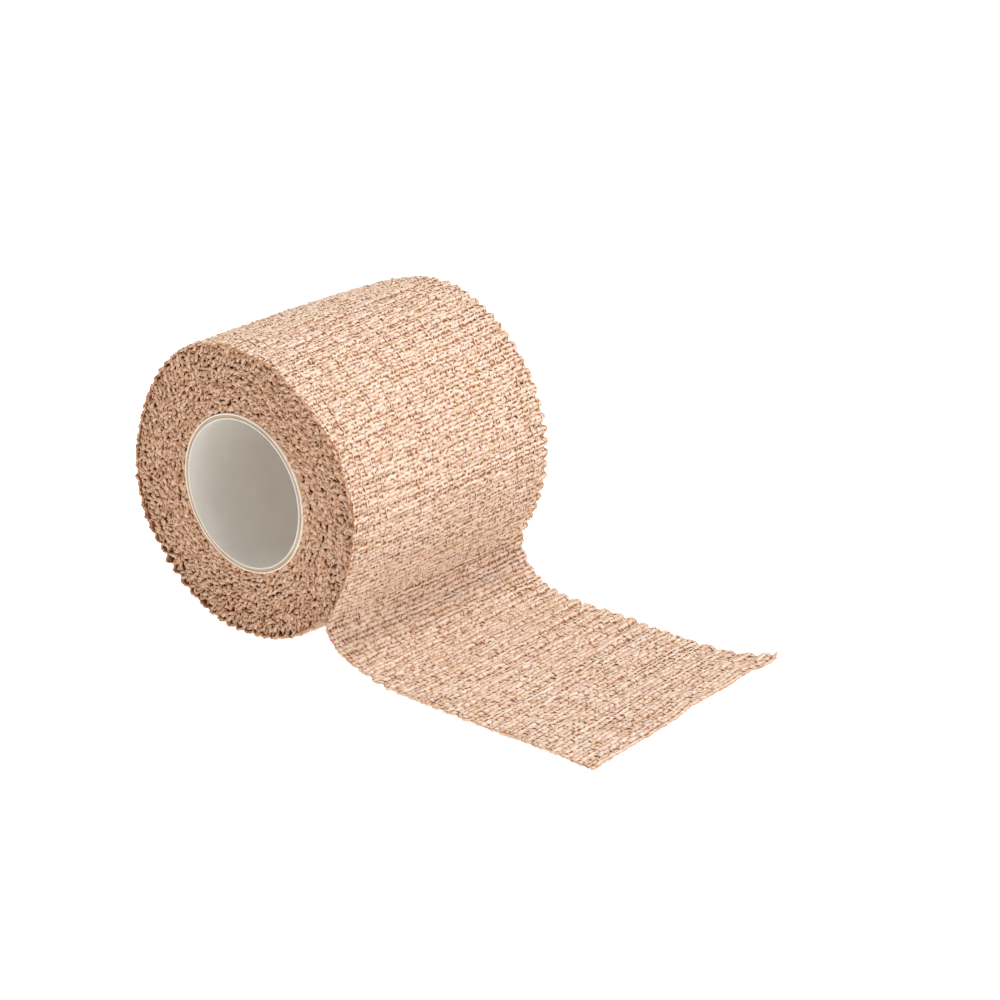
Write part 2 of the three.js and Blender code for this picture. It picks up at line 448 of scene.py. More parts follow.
def connect(socket, value):
    """Links a socket to a field, or sets it to a plain value."""
    if isinstance(value, Field):
        value.tree.links.new(value.socket, socket)
    else:
        socket.default_value = value


def node(tree, kind, inputs=None, output=0, **options):
    """Adds a node, sets its options, fills its inputs by name or number, and gives one output."""
    made = tree.nodes.new(kind)
    for name, value in options.items():
        setattr(made, name, value)
    for key, value in (inputs or {}).items():
        connect(made.inputs[key], value)
    return Field(tree, made.outputs[output])


def calc(operation, *values):
    """One Math node. At least one of the values is a field."""
    tree = next(value.tree for value in values if isinstance(value, Field))
    return node(tree, "ShaderNodeMath", dict(enumerate(values)), operation=operation)


def cosine(angle):
    """The cosine of an angle in radians."""
    return calc("COSINE", angle)


def sine(angle):
    """The sine of an angle in radians."""
    return calc("SINE", angle)


def limited(value, low, high):
    """A number kept between two limits."""
    return calc("MINIMUM", calc("MAXIMUM", value, low), high)


def combine(tree, x=0.0, y=0.0, z=0.0):
    """Three numbers as a vector."""
    return node(tree, "ShaderNodeCombineXYZ", {"X": x, "Y": y, "Z": z})


def part(vector, number):
    """One of the three numbers of a vector."""
    return node(vector.tree, "ShaderNodeSeparateXYZ", {0: vector}, number)


def vector_calc(operation, first, second):
    """One sum on vectors."""
    return node(first.tree, "ShaderNodeVectorMath", {0: first, 1: second}, operation=operation)


def scaled(vector, factor):
    """A vector times a number."""
    return node(vector.tree, "ShaderNodeVectorMath", {0: vector, "Scale": factor}, operation="SCALE")


print("Fields can be used with", ["+", "-", "*", "/", "**"])

# %% Define the helpers for geometry
SOCKET_TYPES = {float: "NodeSocketFloat", int: "NodeSocketInt"}
NOISE_SLANT = 1.7


def position(tree):
    """The place of each point."""
    return node(tree, "GeometryNodeInputPosition")


def attribute(tree, name, data_type="FLOAT"):
    """A named attribute as a field."""
    kind = "GeometryNodeInputNamedAttribute"
    return node(tree, kind, {"Name": name}, "Attribute", data_type=data_type)


def store(geometry, name, value, domain="POINT", data_type="FLOAT"):
    """Keeps a field on the geometry under a name."""
    inputs = {"Geometry": geometry, "Name": name, "Value": value}
    kind = "GeometryNodeStoreNamedAttribute"
    return node(geometry.tree, kind, inputs, data_type=data_type, domain=domain)


def uneven(sizes, kind, place=None):
    """Smooth noise about zero. kind says how large its lumps are, how far it reaches, and which it is."""
    tree = sizes["Seed"].tree
    seed = sizes["Seed"] + kind["shift"]
    moved_place = vector_calc("ADD", place or position(tree), combine(tree, seed, seed * NOISE_SLANT))
    inputs = {"Vector": moved_place, "Scale": 1 / kind["lump"], "Detail": 0.0, "Roughness": 0.5}
    return (node(tree, "ShaderNodeTexNoise", inputs) * 2.0 - 1.0) * kind["reach"]


def line_of_points(tree, count, start, step):
    """Points in a straight row, joined by edges."""
    inputs = {"Count": count, "Start Location": start, "Offset": step}
    return node(tree, "GeometryNodeMeshLine", inputs)


def line_curve(tree, count, start, step):
    """A straight curve with evenly spaced points."""
    return node(tree, "GeometryNodeMeshToCurve", {0: line_of_points(tree, count, start, step)})


def numbered_copies(places, curve):
    """A copy of the curve on each place. Every point keeps the number of its copy as its row."""
    placed = node(places.tree, "GeometryNodeInstanceOnPoints", {"Points": places, "Instance": curve})
    numbered = store(placed, "row", node(places.tree, "GeometryNodeInputIndex"), domain="INSTANCE")
    return node(places.tree, "GeometryNodeRealizeInstances", {"Geometry": numbered})


def moved(curves, x, y, z):
    """Curves whose points are all moved."""
    inputs = {"Geometry": curves, "Offset": combine(curves.tree, x, y, z)}
    return node(curves.tree, "GeometryNodeSetPosition", inputs)


def yarn_mesh(curves, width, height, sides, fullness):
    """Yarns along curves. Their section is a flattened ring with a corner on top."""
    tree = curves.tree
    inputs = {"Resolution": sides, "Radius": 0.5}
    ring = node(tree, "GeometryNodeCurvePrimitiveCircle", inputs, mode="RADIUS")
    inputs = {"Geometry": ring, "Rotation": (0.0, 0.0, -math.pi / 2)}
    turned = node(tree, "GeometryNodeTransform", inputs)
    inputs = {"Geometry": turned, "Scale": combine(tree, width, height, 1.0)}
    section = node(tree, "GeometryNodeTransform", inputs)
    inputs = {"Curve": curves, "Profile Curve": section, "Scale": fullness, "Fill Caps": True}
    return node(tree, "GeometryNodeCurveToMesh", inputs)


def new_tree(name, values):
    """A Geometry Nodes tree with a named input for each size, for the guide and for the material."""
    tree = bpy.data.node_groups.new(name, "GeometryNodeTree")
    tree.interface.new_socket("Geometry", in_out="OUTPUT", socket_type="NodeSocketGeometry")
    tree.interface.new_socket("Geometry", in_out="INPUT", socket_type="NodeSocketGeometry")
    for label, value in values.items():
        socket = tree.interface.new_socket(label, in_out="INPUT", socket_type=SOCKET_TYPES[type(value)])
        socket.default_value = value
    tree.interface.new_socket("Guide", in_out="INPUT", socket_type="NodeSocketObject")
    tree.interface.new_socket("Material", in_out="INPUT", socket_type="NodeSocketMaterial")
    start = tree.nodes.new("NodeGroupInput")
    return tree, {socket.name: Field(tree, socket) for socket in start.outputs}


def finish_tree(geometry, material):
    """Ends a tree: real geometry, smooth faces and a material."""
    tree = geometry.tree
    real = node(tree, "GeometryNodeRealizeInstances", {"Geometry": geometry})
    smooth = node(tree, "GeometryNodeSetShadeSmooth", {"Geometry": real})
    done = node(tree, "GeometryNodeSetMaterial", {"Geometry": smooth, "Material": material})
    connect(tree.nodes.new("NodeGroupOutput").inputs[0], done)


def triangles_of(piece):
    """How many triangles a piece comes to."""
    return sum(len(face.vertices) - 2 for face in piece.data.polygons)


def grow(name, tree, values, material):
    """Runs a tree on a new object and keeps the result as a plain mesh."""
    carrier = mesh_object(name + "_carrier", [], [])
    modifier = carrier.modifiers.new("grow", "NODES")
    modifier.node_group = tree
    identifiers = {
        item.name: item.identifier
        for item in tree.interface.items_tree
        if item.item_type == "SOCKET" and item.in_out == "INPUT"
    }
    for label, value in {**values, "Guide": guide, "Material": material}.items():
        modifier[identifiers[label]] = value
    graph = bpy.context.evaluated_depsgraph_get()
    graph.update()
    mesh = bpy.data.meshes.new_from_object(carrier.evaluated_get(graph))
    mesh.name = name
    carrier.modifiers.remove(modifier)
    bpy.data.objects.remove(carrier)
    made = bpy.data.objects.new(name, mesh)
    bpy.context.scene.collection.objects.link(made)
    print(name + ":", triangles_of(made), "triangles")
    return made


print("Trees take sizes of these kinds:", [kind.__name__ for kind in SOCKET_TYPES])

# %% [markdown]
# ## Wrapping a flat carpet onto the cloth
# A yarn is first made on a flat carpet whose x runs along the strip, whose y runs across it and whose z
# stands for height. Sample UV Surface then looks up the place on the guide with the same coordinates, and
# the height is added along the guide's own up direction. This keeps yarns round and evenly spaced
# wherever the cloth bends.

# %% Define the wrap
EDGE_MARGIN = 0.02 * MM
MAP_MARGIN = 1e-5


def map_place(tree, sizes):
    """Where on the guide's texture map the carpet lies, and how far it reaches past the strip's edge."""
    along = limited(part(position(tree), 0) / sizes["Cloth Length"], MAP_MARGIN, 1 - MAP_MARGIN)
    aside = part(position(tree), 1)
    reach = sizes["Cloth Width"] * 0.5 - EDGE_MARGIN
    kept = limited(aside, reach * -1.0, reach)
    return combine(tree, along, kept / sizes["Cloth Width"] + 0.5), aside - kept


def guide_value(sizes, value, where):
    """A vector of the guide, looked up at a place on its texture map."""
    tree = where.tree
    guide_mesh = node(tree, "GeometryNodeObjectInfo", {"Object": sizes["Guide"]}, "Geometry")
    uv_map = attribute(tree, "UVMap", "FLOAT_VECTOR")
    inputs = {"Mesh": guide_mesh, "Value": value, "UV Map": uv_map, "Sample UV": where}
    return node(tree, "GeometryNodeSampleUVSurface", inputs, data_type="FLOAT_VECTOR")


def wrap_on_guide(geometry, sizes):
    """Moves a flat carpet onto the guide surface."""
    tree = geometry.tree
    where, beyond = map_place(tree, sizes)
    spot = guide_value(sizes, position(tree), where)
    up = guide_value(sizes, attribute(tree, "up", "FLOAT_VECTOR"), where)
    side = guide_value(sizes, attribute(tree, "side", "FLOAT_VECTOR"), where)
    target = vector_calc("ADD", spot, scaled(up, part(position(tree), 2)))
    target = vector_calc("ADD", target, scaled(side, beyond))
    return node(tree, "GeometryNodeSetPosition", {"Geometry": geometry, "Position": target})


def finish_yarns(yarns, sizes):
    """Keeps the flat place of each point for the material, wraps the yarns and ends the tree."""
    mapped = store(yarns, "carpet", position(yarns.tree), data_type="FLOAT_VECTOR")
    finish_tree(wrap_on_guide(mapped, sizes), sizes["Material"])


print("The wrap looks the guide up to", round(EDGE_MARGIN / MM, 2), "mm from its edges")

# %% [markdown]
# ## Weft yarns
# The pale face of the bandage is made of weft yarns that run across the strip and touch each other. Elastic
# threads cross them in columns about 1.4 mm apart and pinch every yarn there, so a small dark hole opens
# between neighbours. Every third thread pulls harder. The holes are true ones: each yarn is a tube that
# gets thin at the columns, most of all in the valleys of the ribs, and noise opens some and closes others.
# At the cut end the yarns are pressed flat and paler, as in a hem.

# %% Build the tree of weft yarns
WEFT_SIZES = {
    "Rows": 10,
    "First Row": 0.0,
    "Row Pitch": 0.77 * MM,
    "Cloth Width": STRIP_WIDTH,
    "Cloth Length": CLOTH_LENGTH,
    "Columns": 35.0,
    "Points Across": 141,
    "Pinch": 0.85,
    "Half Pinch": 0.6,
    "Wander": 0.3 * MM,
    "Hem Length": 2.8 * MM,
    "Yarn Width": 0.94 * MM,
    "Yarn Height": 0.46 * MM,
    "Lift": 0.16 * MM,
    "Seed": 3.0,
}
WEFT_NOISE = {
    "hem": {"lump": 4 * MM, "shift": 6.6, "reach": 0.8},
    "holes": {"lump": 0.75 * MM, "shift": 0.77, "reach": 2.6},
    "fullness": {"lump": 0.9 * MM, "shift": 4.7, "reach": 0.22},
    "wander": {"lump": 5 * MM, "shift": 1.9, "reach": 1.0},
    "crinkle": {"lump": 0.6 * MM, "shift": 2.3, "reach": 0.45 * MM},
    "aside": {"lump": 6 * MM, "shift": 5.9, "reach": 0.7 * MM},
    "bob": {"lump": 0.8 * MM, "shift": 3.1, "reach": 0.2 * MM},
}
YARN_SIDES = 5
THINNEST = 0.3
HARD_PULL = 0.33
VALLEY_PINCH = 0.45
EDGE_HOLES = 0.6
MOST_HOLES = 0.85
HEM_START = 0.6
HEM_CALM = 0.7
HEM_THIN = 0.15
HEM_TINT = 0.4
IDS_PER_ROW = 97.0
TINT_SEED = 5


def carpet_of_rows(tree, sizes):
    """Straight rows across the strip, each point knowing the number of its row."""
    first = combine(tree, sizes["First Row"])
    starts = line_of_points(tree, sizes["Rows"], first, combine(tree, sizes["Row Pitch"]))
    half = sizes["Cloth Width"] * 0.5
    ends = {"Start": combine(tree, 0.0, half * -1.0), "End": combine(tree, 0.0, half)}
    line = node(tree, "GeometryNodeCurvePrimitiveLine", ends)
    inputs = {"Curve": line, "Count": sizes["Points Across"]}
    return numbered_copies(starts, node(tree, "GeometryNodeResampleCurve", inputs))


def in_hem(tree, sizes):
    """1 close to the cut end, where the yarns are pressed together, and 0 before it."""
    left = (sizes["Cloth Length"] - part(position(tree), 0)) / sizes["Hem Length"]
    beyond = left - uneven(sizes, WEFT_NOISE["hem"])
    return 1.0 - limited(beyond - HEM_START, 0.0, 1.0)


def pinch_depth(tree, sizes, column):
    """How much thinner the yarn is at each point, from 0 to about 1."""
    wave = cosine(column * FULL_TURN)
    between = calc("MAXIMUM", wave * -1.0, 0.0) * sizes["Half Pinch"]
    at_thread = calc("MAXIMUM", wave, 0.0) + between
    pull = cosine(column * (FULL_TURN / 3)) * HARD_PULL + (1 - HARD_PULL)
    where, beyond = map_place(tree, sizes)
    crimp = part(guide_value(sizes, attribute(tree, "crimp", "FLOAT_VECTOR"), where), 0)
    to_edge = part(position(tree), 1) / (sizes["Cloth Width"] * 0.5)
    open_share = uneven(sizes, WEFT_NOISE["holes"]) + (to_edge**8.0 * EDGE_HOLES + MOST_HOLES)
    depth = at_thread * pull * sizes["Pinch"]
    return depth * ((1.0 - crimp * VALLEY_PINCH) * calc("MAXIMUM", open_share, 0.0))


def weft_tree():
    """The whole tree, from straight rows to yarns on the cloth."""
    tree, sizes = new_tree("weft_yarns", WEFT_SIZES)
    rows = carpet_of_rows(tree, sizes)
    column = part(position(tree), 1) / sizes["Cloth Width"] * sizes["Columns"]
    hem = in_hem(tree, sizes)
    pinch = pinch_depth(tree, sizes, column) * (1.0 - hem * HEM_CALM)
    fullness = 1.0 - hem * HEM_THIN - pinch + uneven(sizes, WEFT_NOISE["fullness"])
    number = attribute(tree, "row") * IDS_PER_ROW + calc("FLOOR", column)
    inputs = {"ID": number, "Seed": TINT_SEED}
    tint = node(tree, "FunctionNodeRandomValue", inputs, "Value", data_type="FLOAT")
    marked = store(rows, "tint", tint + hem * HEM_TINT)
    marked = store(marked, "fullness", calc("MAXIMUM", fullness, THINNEST))
    wander = uneven(sizes, WEFT_NOISE["wander"]) * sizes["Wander"]
    along = wander + uneven(sizes, WEFT_NOISE["crinkle"])
    height = uneven(sizes, WEFT_NOISE["bob"]) + sizes["Lift"]
    bent = moved(marked, along, uneven(sizes, WEFT_NOISE["aside"]), height)
    thickness = attribute(tree, "fullness")
    yarns = yarn_mesh(bent, sizes["Yarn Width"], sizes["Yarn Height"], YARN_SIDES, thickness)
    finish_yarns(yarns, sizes)
    return tree


weft = weft_tree()
print("Weft tree:", len(weft.nodes), "nodes")

# %% [markdown]
# ## Weaving the cloth
# One tree weaves all of it. The roll takes two runs, to keep each piece light, and the loose end a third.
# There the cloth isn't wound and has relaxed, so its rows lie further apart.

# %% Weave the roll and the loose end
weft_material = bpy.data.materials.new("weft_yarn")
edge_material = bpy.data.materials.new("turn_edge_yarn")
LOOSE_ROW_STRETCH = 1.35
LOOSE_YARN_WIDTH = 1.4 * MM
ROW_PITCH = WEFT_SIZES["Row Pitch"]
YARN_WIDTH = WEFT_SIZES["Yarn Width"]
roll_rows = int((TUCK_LENGTH + ROLL_LENGTH) / ROW_PITCH)
half_rows = roll_rows // 2
loose_start = roll_rows * ROW_PITCH
loose_rows_count = round((CLOTH_LENGTH - loose_start) / (LOOSE_ROW_STRETCH * ROW_PITCH))
LOOSE_ROW_PITCH = (CLOTH_LENGTH - loose_start) / loose_rows_count
print("Rows of weft:", roll_rows, "on the roll and", loose_rows_count, "on the loose end")


def weave(name, start, rows, pitch, yarn_width):
    """Rows of weft from a place along the strip onwards, as one piece."""
    changes = {"Rows": rows, "Row Pitch": pitch, "Yarn Width": yarn_width, "First Row": start + pitch / 2}
    return grow(name, weft, {**WEFT_SIZES, **changes}, weft_material)


weft_under = weave("weft_under", 0.0, half_rows, ROW_PITCH, YARN_WIDTH)
weft_over = weave("weft_over", half_rows * ROW_PITCH, roll_rows - half_rows, ROW_PITCH, YARN_WIDTH)
weft_loose = weave("weft_loose", loose_start, loose_rows_count, LOOSE_ROW_PITCH, LOOSE_YARN_WIDTH)

# %% [markdown]
# ## Warp threads
# The threads that pinch the weft are fine and pale. Each runs along the strip, over one yarn and under the
# next, and its neighbour does the opposite. They cut the dark gaps between the rows into short specks.

# %% Build the tree of warp threads
WARP_SIZES = {
    "Threads": 35,
    "Points": 10,
    "First Point": 0.0,
    "Row Pitch": ROW_PITCH,
    "Cloth Width": STRIP_WIDTH,
    "Cloth Length": CLOTH_LENGTH,
    "Weave Height": 0.13 * MM,
    "Lift": 0.3 * MM,
    "Wander": 0.7 * MM,
    "Thread Width": 0.34 * MM,
    "Thread Height": 0.24 * MM,
    "Seed": 17.0,
}
WARP_NOISE = {
    "bob": {"lump": 0.9 * MM, "shift": 1.1, "reach": 0.25 * MM},
    "wander": {"lump": 4 * MM, "shift": 1.9, "reach": 1.0},
    "crinkle": {"lump": 0.8 * MM, "shift": 2.3, "reach": 0.35 * MM},
    "tint": {"lump": 0.7 * MM, "shift": 3.7, "reach": 0.8},
}
WARP_SIDES = 3
WARP_TINT = 0.6


def carpet_of_threads(tree, sizes):
    """Straight threads along the strip, each point knowing the number of its thread."""
    first = combine(tree, sizes["First Point"])
    thread = line_curve(tree, sizes["Points"], first, combine(tree, sizes["Row Pitch"] * 0.5))
    spacing = sizes["Cloth Width"] / sizes["Threads"]
    outermost = combine(tree, 0.0, (spacing - sizes["Cloth Width"]) * 0.5)
    starts = line_of_points(tree, sizes["Threads"], outermost, combine(tree, 0.0, spacing))
    return numbered_copies(starts, thread)


def warp_tree():
    """Threads that go over and under the rows of weft."""
    tree, sizes = new_tree("warp_threads", WARP_SIZES)
    threads = carpet_of_threads(tree, sizes)
    gone = part(position(tree), 0) - sizes["First Point"]
    rows = gone / sizes["Row Pitch"] + attribute(tree, "row")
    swing = cosine(rows * math.pi) * sizes["Weave Height"]
    height = swing + sizes["Lift"] + uneven(sizes, WARP_NOISE["bob"])
    wander = uneven(sizes, WARP_NOISE["wander"]) * sizes["Wander"]
    aside = wander + uneven(sizes, WARP_NOISE["crinkle"])
    tinted = store(threads, "tint", uneven(sizes, WARP_NOISE["tint"]) + WARP_TINT)
    bent = moved(tinted, 0.0, aside, height)
    yarns = yarn_mesh(bent, sizes["Thread Width"], sizes["Thread Height"], WARP_SIDES, 1.0)
    finish_yarns(yarns, sizes)
    return tree


warp = warp_tree()


def warp_threads(name, start, length, pitch):
    """All threads of one stretch of the strip, as one piece."""
    changes = {"Row Pitch": pitch, "First Point": start + pitch / 2, "Points": int(2 * length / pitch) - 1}
    return grow(name, warp, {**WARP_SIZES, **changes}, weft_material)


warp_roll = warp_threads("warp_roll", 0.0, loose_start, ROW_PITCH)
warp_loose = warp_threads("warp_loose", loose_start, CLOTH_LENGTH - loose_start, LOOSE_ROW_PITCH)

# %% [markdown]
# ## Selvedges
# At both edges of the strip the weft turns back, and a thin yarn loops round the ends. It is made like the
# weft, on the carpet, but its rows run along the strip, half a yarn past the edge. On the loose end it is
# painted paler, as painted light, because it lies in full light there. On the roll the near one takes the
# colours of the end faces, with their painted shade.

# %% Build the tree of selvedge yarns
SELVEDGE_SIZES = {
    "Points": 1010,
    "Point Step": 0.246 * MM,
    "Cloth Width": STRIP_WIDTH,
    "Cloth Length": CLOTH_LENGTH,
    "Loop Length": 1.1 * MM,
    "Loop Reach": 0.1 * MM,
    "Yarn Width": 0.46 * MM,
    "Edge": 1.0,
    "Loose From": TUCK_LENGTH + ROLL_LENGTH,
    "Seed": 11.0,
}
SELVEDGE_NOISE = {
    "loops": {"lump": 2.4 * MM, "shift": 0.0, "reach": 1.0},
    "wander": {"lump": 1.3 * MM, "shift": 0.9, "reach": 0.35 * MM},
    "bob": {"lump": 1.0 * MM, "shift": 1.7, "reach": 0.2 * MM},
    "tint": {"lump": 0.9 * MM, "shift": 2.9, "reach": 1.3},
}
LOOP_HEIGHT = 0.1 * MM
EDGE_TINT = 0.35
LOOSE_PAINTED_LIGHT = 0.7
PALER_OVER = 12 * MM


def selvedge_tree():
    """One looping yarn along one edge of the strip."""
    tree, sizes = new_tree("selvedge_yarns", SELVEDGE_SIZES)
    curve = line_curve(tree, sizes["Points"], ORIGIN, combine(tree, sizes["Point Step"]))
    along = part(position(tree), 0)
    loops = along / sizes["Loop Length"] + uneven(sizes, SELVEDGE_NOISE["loops"])
    phase = loops * FULL_TURN
    reach = cosine(phase) * sizes["Loop Reach"] + uneven(sizes, SELVEDGE_NOISE["wander"])
    across = (sizes["Cloth Width"] * 0.5 + reach) * sizes["Edge"]
    height = sine(phase) * LOOP_HEIGHT + uneven(sizes, SELVEDGE_NOISE["bob"])
    bent = moved(curve, 0.0, across, height)
    # Painted light: the yarn is painted paler along the loose end, which lies in full light.
    in_full_light = limited((along - sizes["Loose From"]) / PALER_OVER, 0.0, 1.0)
    tint = uneven(sizes, SELVEDGE_NOISE["tint"]) + EDGE_TINT + in_full_light * LOOSE_PAINTED_LIGHT
    tinted = store(bent, "tint", tint)
    finish_yarns(yarn_mesh(tinted, sizes["Yarn Width"], sizes["Yarn Width"], YARN_SIDES, 1.0), sizes)
    return tree


selvedge = selvedge_tree()


def edge_yarn(name, edge, material):
    """The looping yarn of the near edge, -1, or of the far edge, 1."""
    changes = {"Edge": edge, "Seed": SELVEDGE_SIZES["Seed"] + edge}
    return grow(name, selvedge, {**SELVEDGE_SIZES, **changes}, material)


# The near selvedge takes the end faces' colours, which carry painted shade.
selvedge_near = edge_yarn("selvedge_near", -1.0, edge_material)
selvedge_far = edge_yarn("selvedge_far", 1.0, weft_material)

# %% [markdown]
# ## The wound turns
# Under the last turn lie about fifteen more. Only their edges show, on the two end faces. A closed ring
# stands for their body. It is a profile turned round the axis of the roll, whose inner part follows the
# tube, which sits a little forward of and above the middle.

# %% Make the ring of wound turns
tube_middle = (tube_low + tube_high) / 2
TUBE_RADIUS = (tube_high.z - tube_low.z) / 2
BORE_RADIUS = TUBE_RADIUS + 0.02 * MM
FACE_RECESS = 0.9 * MM
RING_STEPS = 180
RING_FACE_STEPS = 26
LOWEST_RING_POINT = 0.95 * MM
RING_OUTER_RADIUS = OUTER_RADIUS - HALF_CLOTH - 0.32 * MM


def ring_point(angle, share, y):
    """A point of the ring. share is 0 at the bore and 1 under the last turn."""
    turned = ((angle - PEEL_NEAR) / FULL_TURN) % 1.0
    outer = RING_OUTER_RADIUS - TURN_THICKNESS * (1 - turned)
    radius = BORE_RADIUS + (outer - BORE_RADIUS) * share + float(slack(angle, 0.5 * np.sign(y))) * share**3
    x = radius * math.sin(angle) + tube_middle.x * (1 - share)
    z = AXIS_HEIGHT + radius * math.cos(angle) + (tube_middle.z - AXIS_HEIGHT) * (1 - share)
    return (x, y, max(z, LOWEST_RING_POINT))


def wound_ring():
    """The closed body of the turns: bore, far face, outside and near face."""
    half = STRIP_WIDTH / 2 - FACE_RECESS
    shares = np.linspace(0.0, 1.0, RING_FACE_STEPS)
    section = [(float(share), half) for share in shares]
    section += [(float(share), -half) for share in shares[::-1]]
    points = []
    for step in range(RING_STEPS):
        angle = PEEL_NEAR + FULL_TURN * step / RING_STEPS
        points += [ring_point(angle, share, y) for share, y in section]
    return mesh_object("wound_turns", points, ring_faces(RING_STEPS, len(section)))


def turn_outwards(piece):
    """Makes all faces of a closed mesh point out."""
    work = bmesh.new()
    work.from_mesh(piece.data)
    bmesh.ops.recalc_face_normals(work, faces=work.faces)
    work.to_mesh(piece.data)
    work.free()


wound_turns = wound_ring()
turn_outwards(wound_turns)
print("Wound turns:", len(wound_turns.data.polygons), "faces")

# %% [markdown]
# ## The edges of the turns
# On an end face the crimped cloth is seen edge on. Each turn shows the two faces of the cloth as thin
# yarns that weave in and out like a net, and dark pores open where neighbours part. So each face gets a
# pair of long yarns on a spiral. Their waves are opposite, and noise makes each pore different. Towards
# the outside the turns lie looser, so there are more and larger pores, and some yarns sink into pits.
# Yarns that lie deeper, and most of all those in pits, are painted darker as shade.

# %% Build the tree of turn edges
EDGE_RADIUS = OUTER_RADIUS - HALF_CLOTH - TURN_THICKNESS - 0.12 * MM
EDGE_STEP = 0.27 * MM
INNER_GAP = 0.34 * MM
TURNS_INSIDE = (EDGE_RADIUS - BORE_RADIUS + 0.4 * MM) / TURN_THICKNESS
INSIDE_LENGTH = FULL_TURN * (EDGE_RADIUS * TURNS_INSIDE - TURN_THICKNESS * TURNS_INSIDE**2 / 2)
TURN_EDGE_SIZES = {
    "Points": int(INSIDE_LENGTH / EDGE_STEP),
    "Point Step": EDGE_STEP,
    "Edge Radius": EDGE_RADIUS,
    "Turn Thickness": TURN_THICKNESS,
    "Bore Radius": BORE_RADIUS,
    "Axis Height": AXIS_HEIGHT,
    "Tube X": tube_middle.x,
    "Tube Z": tube_middle.z,
    "Peel Angle": PEEL_NEAR,
    "Face Place": STRIP_WIDTH / 2 - 0.4 * MM,
    "Side": 1.0,
    "Wave Length": 1.15 * MM,
    "Rib Length": RIB_PITCH,
    "Yarn Width": 0.54 * MM,
    "Lowest": LOWEST_RING_POINT,
    "Seed": 21.0,
}
TURN_NOISE = {
    "drift": {"lump": 3 * MM, "shift": 0.0, "reach": 1.5},
    "pores": {"lump": 1.2 * MM, "shift": 0.6, "reach": 3.0},
    "stray": {"lump": 0.7 * MM, "shift": 1.3, "reach": 0.55 * MM},
    "pits": {"lump": 1.0 * MM, "shift": 4.4, "reach": 7.0},
    "depth": {"lump": 0.8 * MM, "shift": 2.1, "reach": 0.6 * MM},
    "tint": {"lump": 0.6 * MM, "shift": 3.3, "reach": 1.0},
}
PLIES_APART = 2 * MM
SNUG_BELOW = 0.3
SNUG = 0.65
PORE_CHANCE = 0.7
PORE_CHANCE_OUTSIDE = 1.2
PORE_OPENING = 0.19 * MM
PORE_OPENING_OUTSIDE = 0.16 * MM
PLY_GAP = 0.2 * MM
RIB_SHIFT = 0.15 * MM
MOST_IN = -0.6 * MM
MOST_OUT = 0.4 * MM
PIT_DEPTH = 0.75 * MM
PITS_RARE = 2.4
PITS_OUTSIDE = 2.0
WEAVE_DIP = 0.14 * MM
FACE_TINT = 0.55
PIT_SHADE = 0.6
DEPTH_SHADE = 0.7
THIN_YARN = 0.8
TINT_FULLNESS = 0.4
SLACK_AT_EDGE = 0.49


def spiral_place(sizes, run):
    """Radius, angle and share of the way out for a length of cloth wound inwards from the last turn."""
    start = sizes["Edge Radius"]
    radius = calc("SQRT", start * start - run * sizes["Turn Thickness"] / math.pi)
    turns = (start - radius) / sizes["Turn Thickness"]
    radius = calc("MAXIMUM", radius, sizes["Bore Radius"] + INNER_GAP)
    share = (radius - sizes["Bore Radius"]) / (start - sizes["Bore Radius"])
    return radius, sizes["Peel Angle"] - turns * FULL_TURN, share


def face_point(sizes, radius, angle, share, y):
    """A point of an end face. The inner turns follow the tube, which sits off the middle."""
    inward = 1.0 - share
    x = radius * sine(angle) + inward * sizes["Tube X"]
    rise = inward * (sizes["Tube Z"] - sizes["Axis Height"])
    z = radius * cosine(angle) + rise + sizes["Axis Height"]
    return combine(radius.tree, x, y, calc("MAXIMUM", z, sizes["Lowest"]))


def turn_slack(sizes, angle, share):
    """The outer turns stand off the roll where the last turn does."""
    turned = calc("FRACT", (angle - sizes["Peel Angle"]) / FULL_TURN)
    along = turned * (ROLL_LENGTH / CLOTH_LENGTH) + TUCK_LENGTH / CLOTH_LENGTH
    where = combine(angle.tree, along, sizes["Side"] * SLACK_AT_EDGE + 0.5)
    stored = attribute(angle.tree, "slack", "FLOAT_VECTOR")
    return part(guide_value(sizes, stored, where), 0) * share**3.0


